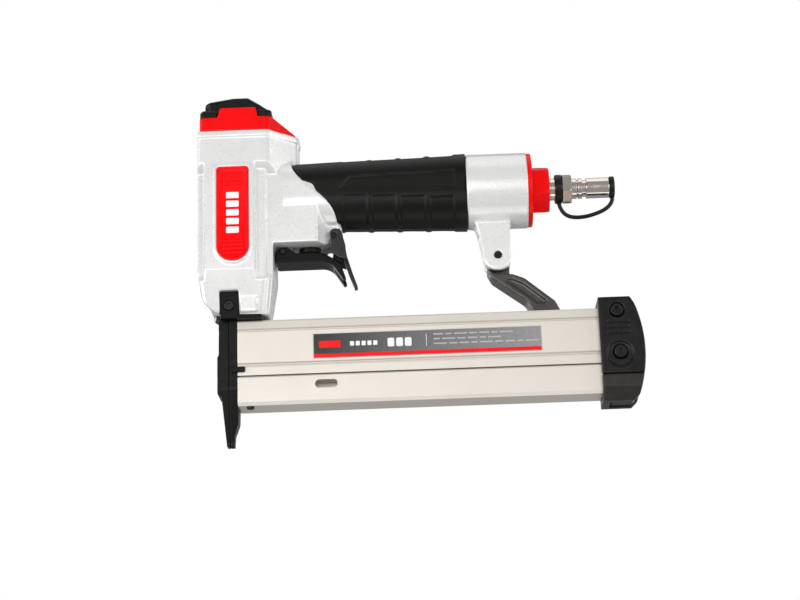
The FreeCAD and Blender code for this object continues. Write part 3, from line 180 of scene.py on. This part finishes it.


# Specular levels are low on the black and red surfaces, which keeps them deep under a bright studio.
# Each crevice_shade entry paints shade into that finish's corners, grooves and recesses.
MATERIALS = {
    "silver_paint": finish("cast_silver_paint", (0.82, 0.825, 0.815), (0.78, 0.785, 0.775), 0.30, 0.20,
                           grain=(500.0, 0.000004), edge=0, crevice_shade=(0.006, 0.45),
                           constants={"Coat Weight": 0.3, "Coat Roughness": 0.10}),
    "red_plastic": finish("red_moulding", (1.0, 0.0015, 0.004), (0.94, 0.0015, 0.004), 0.26,
                          grain=(1400.0, 0.00001), crevice_shade=(0.0012, 0.55), edge=0.0002,
                          constants={"Specular IOR Level": 0.14}),
    "red_paint": finish("red_paint", (0.98, 0.0015, 0.003), (0.90, 0.0015, 0.003), 0.30, grain=(1200.0, 0.00001),
                        crevice_shade=(0.003, 0.5), constants={"Specular IOR Level": 0.16}),
    "red_casting": finish("red_casting", (0.98, 0.0015, 0.003), (0.90, 0.0015, 0.003), 0.30,
                          grain=(1200.0, 0.00001), edge=0, crevice_shade=(0.004, 0.5),
                          constants={"Specular IOR Level": 0.16}),
    "black_plastic": finish("black_moulding", (0.0045, 0.0040, 0.0038), (0.0070, 0.0065, 0.0060), 0.32,
                            grain=(1700.0, 0.00003), edge=0, constants={"Specular IOR Level": 0.28}),
    # Painted light: a lighter copy of the black moulding for the slide end, which faces down; its extra
    # lightness stands in for light bounced up onto it from below.
    "underside_lit_plastic": finish("underside_lit_moulding", (0.0150, 0.0130, 0.0120), (0.0220, 0.0195, 0.0180), 0.36,
                            grain=(1700.0, 0.00003), mottle=240.0, edge=0,
                            constants={"Specular IOR Level": 0.35}),
    "grip_rubber": finish("grip_rubber", (0.0040, 0.0040, 0.0034), (0.0062, 0.0062, 0.0054), 0.40,
                          grain=(1500.0, 0.00006), edge=0, constants={"Specular IOR Level": 0.20}),
    "black_rubber": finish("soft_rubber", (0.0045, 0.0045, 0.0045), (0.008, 0.008, 0.008), 0.38,
                           grain=(1200.0, 0.00002), edge=0, constants={"Specular IOR Level": 0.28}),
    "gasket": finish("gasket_sheet", (0.10, 0.095, 0.09), (0.06, 0.06, 0.055), 0.8, grain=(3000.0, 0.00004)),
    "black_steel": finish("black_oxide_steel", (0.0045, 0.0045, 0.0042), (0.0080, 0.0075, 0.0070), 0.28,
                          grain=(2600.0, 0.00001), wear=(0.16, 0.16, 0.16), wear_amount=0.45, edge=0.0002,
                          constants={"Specular IOR Level": 0.32}),
    "black_casting": finish("black_casting", (0.0024, 0.0024, 0.0022), (0.0040, 0.0038, 0.0035), 0.36,
                            grain=(1900.0, 0.00002), edge=0, crevice_shade=(0.003, 0.4),
                            constants={"Specular IOR Level": 0.16}),
    "grey_steel": finish("grey_plated_steel", (0.030, 0.031, 0.033), (0.022, 0.023, 0.024), 0.30, 0.4,
                         grain=(2600.0, 0.00001), edge=0, crevice_shade=(0.003, 0.4)),
    "bright_steel": finish("bright_steel", (0.62, 0.62, 0.62), (0.54, 0.54, 0.54), 0.24, 1.0,
                           grain=(3000.0, 0.000005)),
    "magazine_alloy": finish("champagne_anodised", (0.76, 0.705, 0.635), (0.73, 0.675, 0.605), 0.34, 0.20,
                             grain=(1.0, 0.000008), brushed=(14.0, 2600.0, 2600.0), mottle=25.0, uneven=0.03,
                             wear=(0.84, 0.80, 0.74), wear_amount=0.4, edge=0.00012, crevice_shade=(0.0014, 0.22)),
    "alloy": finish("machined_alloy", (0.66, 0.66, 0.67), (0.58, 0.58, 0.59), 0.28, 1.0,
                    grain=(1.0, 0.00001), brushed=(900.0, 900.0, 4200.0)),
    "nickel": finish("nickel_plate", (0.88, 0.80, 0.72), (0.80, 0.73, 0.65), 0.16, 1.0,
                     grain=(2400.0, 0.000003), edge=0.0002, crevice_shade=(0.0015, 0.35)),
    "brass": finish("bronze", (0.30, 0.17, 0.08), (0.22, 0.12, 0.05), 0.34, 1.0, grain=(2000.0, 0.00001)),
    "arm_metal": finish("charcoal_paint", (0.092, 0.088, 0.084), (0.062, 0.060, 0.058), 0.26, 0.5,
                        grain=(1300.0, 0.00003), edge=0, crevice_shade=(0.003, 0.25)),
    "filter": finish("filter_wire", (0.4, 0.4, 0.4), (0.3, 0.3, 0.3), 0.4, 1.0, grain=(4000.0, 0.0001)),
    "white_print": finish("white_print", (0.95, 0.95, 0.95), (0.90, 0.90, 0.90), 0.4, grain=(2400.0, 0.00001)),
    "grey_print": finish("grey_print", (0.50, 0.50, 0.50), (0.44, 0.44, 0.44), 0.4, grain=(2400.0, 0.00001)),
    "red_print": finish("red_print", (0.98, 0.004, 0.008), (0.90, 0.003, 0.006), 0.34, grain=(2400.0, 0.00001),
                        constants={"Specular IOR Level": 0.2}),
}
# Pieces whose finish isn't the one of their material slot.
# The slide end's lighter black is painted light from below.
FINISHES = {"cylinder_cap": "red_casting", "trigger": "black_casting", "nose_body": "black_casting",
            "nose_plate": "black_casting", "slide_end": "underside_lit_plastic", "trigger_pin": "black_steel",
            "driver_guide": "black_steel"}


def label_film():
    """Printed film: black at the nose's end, fading to grey towards the rear."""
    low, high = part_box("label_right")
    t = Tree("label_film")
    along = t.add("ShaderNodeSeparateXYZ", {"Vector": t.place}).outputs["X"]
    fade = t.spread(along, low.x + 0.05 * (high.x - low.x), high.x)
    base = t.blend(fade, (0.008, 0.008, 0.008), (0.33, 0.33, 0.33))
    speckle = t.spread(t.noise(700.0, 4.0), 0.3, 0.7, 0.0, 0.25)
    t.feed(t.shader.inputs["Base Color"], t.blend(speckle, base, (0.02, 0.02, 0.02)))
    t.feed(t.shader.inputs["Roughness"], t.spread(t.noise(260.0), 0.3, 0.7, 0.26, 0.36))
    t.feed(t.shader.inputs["Normal"], t.bump(t.noise(500.0), 0.00001))
    return t.material


MATERIALS["label"] = label_film()


# ---------------------------------------------------------------- pieces
def paint(obj, material):
    obj.data.materials.clear()
    obj.data.materials.append(MATERIALS[material])


def new_piece(name, mesh):
    piece = bpy.data.objects.new(name, mesh)
    scene.collection.objects.link(piece)
    return piece


def apply_modifiers(piece):
    depsgraph = bpy.context.evaluated_depsgraph_get()
    mesh = bpy.data.meshes.new_from_object(piece.evaluated_get(depsgraph))
    piece.modifiers.clear()
    piece.data = mesh


def welded_copy(node):
    """The node's mesh with the doubled points along its faces' borders joined."""
    mesh = nodes[node].data.copy()
    form = bmesh.new()
    form.from_mesh(mesh)
    bmesh.ops.remove_doubles(form, verts=form.verts, dist=2e-6)
    form.to_mesh(mesh)
    form.free()
    return mesh


def moulded(node, voxel, passes):
    """A copy of a CAD node with its edges rounded over, as a casting or moulding has them.

    The copy is remeshed evenly and relaxed, and its flat stretches are then joined into single faces.
    """
    piece = new_piece(node + "_form", welded_copy(node))
    remesh = piece.modifiers.new("remesh", "REMESH")
    remesh.mode, remesh.voxel_size, remesh.use_smooth_shade = "VOXEL", voxel, True
    relax = piece.modifiers.new("relax", "SMOOTH")
    relax.factor, relax.iterations = 0.5, passes
    flatten = piece.modifiers.new("flatten", "DECIMATE")
    flatten.decimate_type, flatten.angle_limit = "DISSOLVE", math.radians(0.4)
    weigh = piece.modifiers.new("weigh", "WEIGHTED_NORMAL")
    weigh.mode, weigh.weight = "FACE_AREA", 50
    bpy.context.view_layer.update()
    apply_modifiers(piece)
    piece.data.shade_smooth()
    paint(piece, FINISHES.get(node, SLOTS[node]))
    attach(piece, nodes[node]["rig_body"])
    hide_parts(node)


MOULDED = {
    # node: (voxel in mm, smoothing passes)
    "housing": (0.50, 5),
    "cylinder_cap": (0.45, 5),
    "exhaust_cover": (0.40, 6),
    "grip_sleeve": (0.45, 5),
    "rear_cap": (0.35, 5),
    "slide_end": (0.35, 5),
    "support_arm": (0.35, 6),
    "trigger": (0.30, 3),
    "lock_lever": (0.30, 3),
    "latch": (0.30, 3),
    "nose_plate": (0.30, 3),
    "nose_body": (0.30, 3),
    "dust_cap": (0.25, 4),
    "tether_ring": (0.25, 4),
}


def finish_cad_nodes():
    for name, node in nodes.items():
        if name not in MOULDED:
            paint(node, FINISHES.get(name, SLOTS[name]))


def slab_mesh(outline, low, high):
    """Prism between two planes across Y, from a closed outline of (x, z) points in metres."""
    form = bmesh.new()
    face = form.faces.new([form.verts.new((x, low, z)) for x, z in outline])
    raised = bmesh.ops.extrude_face_region(form, geom=[face])
    bmesh.ops.translate(form, vec=(0, high - low, 0),
                        verts=[v for v in raised["geom"] if isinstance(v, bmesh.types.BMVert)])
    bmesh.ops.recalc_face_normals(form, faces=form.faces)
    return form


def rounded_outline(x0, x1, z0, z1, low_radius, high_radius, steps):
    """Rectangle with rounded lower and upper corners."""
    corners = [(x0, z0, low_radius, 180), (x1, z0, low_radius, 270),
               (x1, z1, high_radius, 0), (x0, z1, high_radius, 90)]
    points = []
    for x, z, radius, start in corners:
        cx = x + radius if x == x0 else x - radius
        cz = z + radius if z == z0 else z - radius
        for k in range(steps + 1):
            angle = math.radians(start + 90 * k / steps)
            points.append((cx + radius * math.cos(angle), cz + radius * math.sin(angle)))
    return points


def stack(name, outlines, low, high, side, material, edge=0.0):
    """One piece made of several thin prisms on the tool's side, from low to high outwards."""
    mesh = bpy.data.meshes.new(name)
    whole = bmesh.new()
    for outline in outlines:
        form = slab_mesh(outline, side * low, side * high)
        part = bpy.data.meshes.new("part")
        form.to_mesh(part)
        form.free()
        whole.from_mesh(part)
        bpy.data.meshes.remove(part)
    whole.to_mesh(mesh)
    whole.free()
    piece = new_piece(name, mesh)
    if edge:
        bevel = piece.modifiers.new("edge", "BEVEL")
        bevel.width, bevel.segments, bevel.limit_method = edge, 2, "ANGLE"
        bpy.context.view_layer.update()
        apply_modifiers(piece)
    paint(piece, material)
    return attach(piece, "body_unit")


BADGE_BORDER = 1.0 * MM        # width of the badge's raised border
BADGE_SLOPE = 0.25 * MM        # width of the border's inner slope
BADGE_RECESS = 0.45 * MM       # depth of the field inside the border
BAR_COUNT = 4                  # fine bars at each end of the badge
BAR_PITCH = 2.2 * MM
BAR_HALF_LENGTH = 6.3 * MM
BAR_HALF_HEIGHT = 0.65 * MM
BLOCK_COUNT = 5                # plain blocks of the badge's motif
BLOCK_HALF_LENGTH = 3.4 * MM
BLOCK_SPACE = 0.7 * MM         # half the space between two blocks
SUNK = 0.05 * MM               # how far the print reaches into the film under it
PROUD = 0.03 * MM              # how far it stands out of the film


def badge_plate(side, name, radius):
    low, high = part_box(name)
    base, top = (low.y, high.y) if side > 0 else (-high.y, -low.y)
    outline = rounded_outline(low.x, high.x, low.z, high.z, radius, 1.6 * MM, 14)
    form = slab_mesh(outline, side * base, side * (top - 0.05 * MM))
    form.faces.ensure_lookup_table()
    outer = max(form.faces, key=lambda f: side * f.calc_center_median().y * (1 if len(f.verts) > 8 else 0))
    bmesh.ops.inset_region(form, faces=[outer], thickness=BADGE_BORDER, depth=0.0)
    bmesh.ops.inset_region(form, faces=[outer], thickness=BADGE_SLOPE, depth=-BADGE_RECESS)
    mesh = bpy.data.meshes.new(name + "_form")
    form.to_mesh(mesh)
    form.free()
    plate = new_piece(name + "_form", mesh)
    bevel = plate.modifiers.new("edge", "BEVEL")
    bevel.width, bevel.segments, bevel.limit_method = 0.25 * MM, 3, "ANGLE"
    bpy.context.view_layer.update()
    apply_modifiers(plate)
    plate.data.shade_smooth()
    plate.data.set_sharp_from_angle(angle=math.radians(40))
    paint(plate, "red_plastic")
    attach(plate, "body_unit")
    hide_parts(name)
    return top - 0.5 * MM


def badge_bars(name, radius):
    """Outlines of the bars at both ends; the lower ones get shorter as the badge's round end closes in."""
    low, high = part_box(name)
    middle = (low.x + high.x) / 2
    bars = []
    for start, in_round_end in ((high.z - 3.6 * MM, False), (low.z + 10.8 * MM, True)):
        for k in range(BAR_COUNT):
            z = start - k * BAR_PITCH
            half = BAR_HALF_LENGTH
            if in_round_end:
                drop = max(0.0, low.z + radius - z)
                half = min(half, math.sqrt(max(0.0, radius ** 2 - drop ** 2)) - 2.0 * MM)
            if half > 1.0 * MM:
                bars.append(rounded_outline(middle - half, middle + half, z - BAR_HALF_HEIGHT,
                                            z + BAR_HALF_HEIGHT, 0.5 * MM, 0.5 * MM, 4))
    return bars


def badge(side, name):
    """Side badge: a raised border round a field with fine bars at both ends and a plain white motif."""
    low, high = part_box(name)
    radius = 0.48 * (high.x - low.x)
    field = badge_plate(side, name, radius)
    lines = stack(name + "_bars", badge_bars(name, radius), field - 0.1 * MM, field + 0.32 * MM, side,
                  "red_plastic", 0.1 * MM)
    middle = (low.x + high.x) / 2
    first, last = low.z + 14.6 * MM, high.z - 14.0 * MM
    pitch = (last - first) / BLOCK_COUNT
    blocks = []
    for k in range(BLOCK_COUNT):
        z = first + k * pitch
        blocks.append(rounded_outline(middle - BLOCK_HALF_LENGTH, middle + BLOCK_HALF_LENGTH, z + BLOCK_SPACE,
                                      z + pitch - BLOCK_SPACE, 0.6 * MM, 0.6 * MM, 4))
    motif = stack(name + "_motif", blocks, field - 0.1 * MM, field + 0.22 * MM, side, "white_print")


def label_marks(side, name):
    """Print on the magazine's film: a border, a red stripe and plain bars in place of words."""
    low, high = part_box(name)
    face = high.y if side > 0 else -low.y
    length, height = (high.x - low.x) / MM, (high.z - low.z) / MM

    def mark(x0, x1, z0, z1, radius=0.1, steps=2):
        """A mark's outline, given in millimetres from the label's lower front corner."""
        return rounded_outline(low.x + x0 * MM, low.x + x1 * MM, low.z + z0 * MM, low.z + z1 * MM,
                               radius * MM, radius * MM, steps)

    def printed(suffix, marks, material, proud=PROUD):
        piece = stack(name + suffix, marks, face - SUNK, face + proud, side, material)

    thin = 0.25
    printed("_border", [mark(0, length, 0, thin), mark(0, length, height - thin, height),
                        mark(0, thin, 0, height), mark(length - thin, length, 0, height)], "grey_print")
    printed("_red", [mark(thin, length - thin, thin, 2.3), mark(3, 14.5, 5.6, 9.4, 0.4, 4)], "red_print",
            0.02 * MM)
    squares = [mark(x, x + 2.2, 6.2, 8.7, 0.3, 3) for x in (19.5 + 3.1 * k for k in range(5))]
    blocks = [mark(x, x + 3.6, 5.0, 9.8, 0.8, 4) for x in (39.5 + 4.6 * k for k in range(3))]
    printed("_white", squares + blocks + [mark(60.0, 60.3, 4.6, 11.4)], "white_print")
    fine = []
    dashes = (5.2, 3.4, 7.0, 4.4)
    for row, (z, end) in enumerate(((10.6, 105), (8.0, 96), (5.4, 114))):
        x, k = 64.0, row
        while x < end:
            dash = dashes[k % len(dashes)]
            fine.append(mark(x, x + dash, z, z + 0.8))
            x, k = x + dash + 1.1, k + 1
    printed("_fine", fine, "grey_print")


# ---------------------------------------------------------------- dust cap strap
STRAP_ROUTE = [(179.6, 130.4), (180.8, 123.2), (192.2, 121.0), (208.3, 126.8), (208.9, 132.0)]
STRAP_RADIUS = 1.1


def strap():
    """The dust cap's strap: a round tube along its route, from the tether ring to the cap."""
    curve = bpy.data.curves.new("strap_line", "CURVE")
    curve.dimensions = "3D"
    spline = curve.splines.new("NURBS")
    spline.points.add(len(STRAP_ROUTE) - 1)
    for point, (x, z) in zip(spline.points, STRAP_ROUTE):
        point.co = (x * MM, 0.0, z * MM, 1.0)
    spline.order_u = 3
    spline.use_endpoint_u = True
    spline.resolution_u = 24
    line = new_piece("strap_line", curve)
    bpy.context.view_layer.update()
    centre = bpy.data.meshes.new_from_object(line.evaluated_get(bpy.context.evaluated_depsgraph_get()))
    curve.bevel_depth, curve.bevel_resolution, curve.use_fill_caps = STRAP_RADIUS * MM, 6, True
    bpy.context.view_layer.update()
    tube = bpy.data.meshes.new_from_object(line.evaluated_get(bpy.context.evaluated_depsgraph_get()))
    bpy.data.objects.remove(line)
    piece = new_piece("tether_strap_form", tube)
    piece.data.shade_smooth()
    paint(piece, "black_rubber")
    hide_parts("tether_strap")
    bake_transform(piece)


# ---------------------------------------------------------------- camera and light
def make_camera():
    azimuth, elevation, roll = math.radians(1.0), math.radians(-17.0), math.radians(1.8)
    aim, distance = Vector((0.09105, 0.0, 0.07836)), 1.026
    back = Vector((math.sin(azimuth) * math.cos(elevation), -math.cos(azimuth) * math.cos(elevation),
                   math.sin(elevation)))
    level = (-back).cross(Vector((0, 0, 1))).normalized()
    upright = level.cross(-back)
    right = level * math.cos(roll) - upright * math.sin(roll)
    up = level * math.sin(roll) + upright * math.cos(roll)
    data = bpy.data.cameras.new("camera")
    data.sensor_width, data.lens = 36.0, 85.5
    data.clip_start, data.clip_end = 0.05, 30.0
    camera = bpy.data.objects.new("camera", data)
    turn = Matrix((right, up, back)).transposed().to_4x4()
    camera.matrix_world = Matrix.Translation(aim + back * distance) @ turn
    scene.collection.objects.link(camera)
    scene.camera = camera


LIT_POINT = Vector((0.09, 0.0, 0.10))
LIGHTS = [
    # name, place, width, height, power; all are in metres and watts, and all face LIT_POINT
    ("front", (-0.15, -1.50, 0.15), 0.7, 0.6, 4.6),
    ("front_left", (-0.95, -1.15, 0.02), 0.6, 0.8, 7.2),
    ("front_right", (1.00, -1.15, 0.10), 0.6, 0.8, 6.0),
    ("left_strip", (-1.0, -0.30, 0.15), 0.2, 1.0, 3.2),
    ("right_strip", (1.15, -0.25, 0.2), 0.2, 1.0, 2.8),
    ("top", (0.1, 0.0, 1.1), 1.0, 0.6, 1.6),
    ("below", (0.15, -0.10, -0.90), 0.8, 0.5, 1.8),
    ("back_left", (-0.7, 1.1, 0.5), 0.8, 0.8, 5.0),
    ("back_right", (0.9, 1.0, 0.3), 0.8, 0.8, 3.2),
]
WORLD_LIGHT = 0.30     # strength of the white surroundings as a light; the camera sees them at full white


def make_lights():
    for name, place, width, height, power in LIGHTS:
        data = bpy.data.lights.new(name, "AREA")
        data.shape, data.size, data.size_y, data.energy = "RECTANGLE", width, height, power
        light = bpy.data.objects.new(name, data)
        light.location = place
        light.rotation_euler = (LIT_POINT - Vector(place)).to_track_quat("-Z", "Y").to_euler()
        scene.collection.objects.link(light)


def make_world():
    world = bpy.data.worlds.new("studio")
    scene.world = world
    world.use_nodes = True
    tree = world.node_tree
    tree.nodes.clear()
    seen = tree.nodes.new("ShaderNodeBackground")
    seen.inputs["Color"].default_value, seen.inputs["Strength"].default_value = (1, 1, 1, 1), 1.0
    lit = tree.nodes.new("ShaderNodeBackground")
    lit.inputs["Color"].default_value, lit.inputs["Strength"].default_value = (1, 1, 1, 1), WORLD_LIGHT
    path = tree.nodes.new("ShaderNodeLightPath")
    mix = tree.nodes.new("ShaderNodeMixShader")
    out = tree.nodes.new("ShaderNodeOutputWorld")
    tree.links.new(path.outputs["Is Camera Ray"], mix.inputs[0])
    tree.links.new(lit.outputs[0], mix.inputs[1])
    tree.links.new(seen.outputs[0], mix.inputs[2])
    tree.links.new(mix.outputs[0], out.inputs["Surface"])
    scene.view_settings.view_transform = "Standard"


make_camera()
make_lights()
make_world()
strap()
finish_cad_nodes()
for node, (voxel, passes) in MOULDED.items():
    moulded(node, voxel * MM, passes)
for side, name in ((-1, "badge_right"), (1, "badge_left")):
    badge(side, name)
for side, name in ((-1, "label_right"), (1, "label_left")):
    label_marks(side, name)
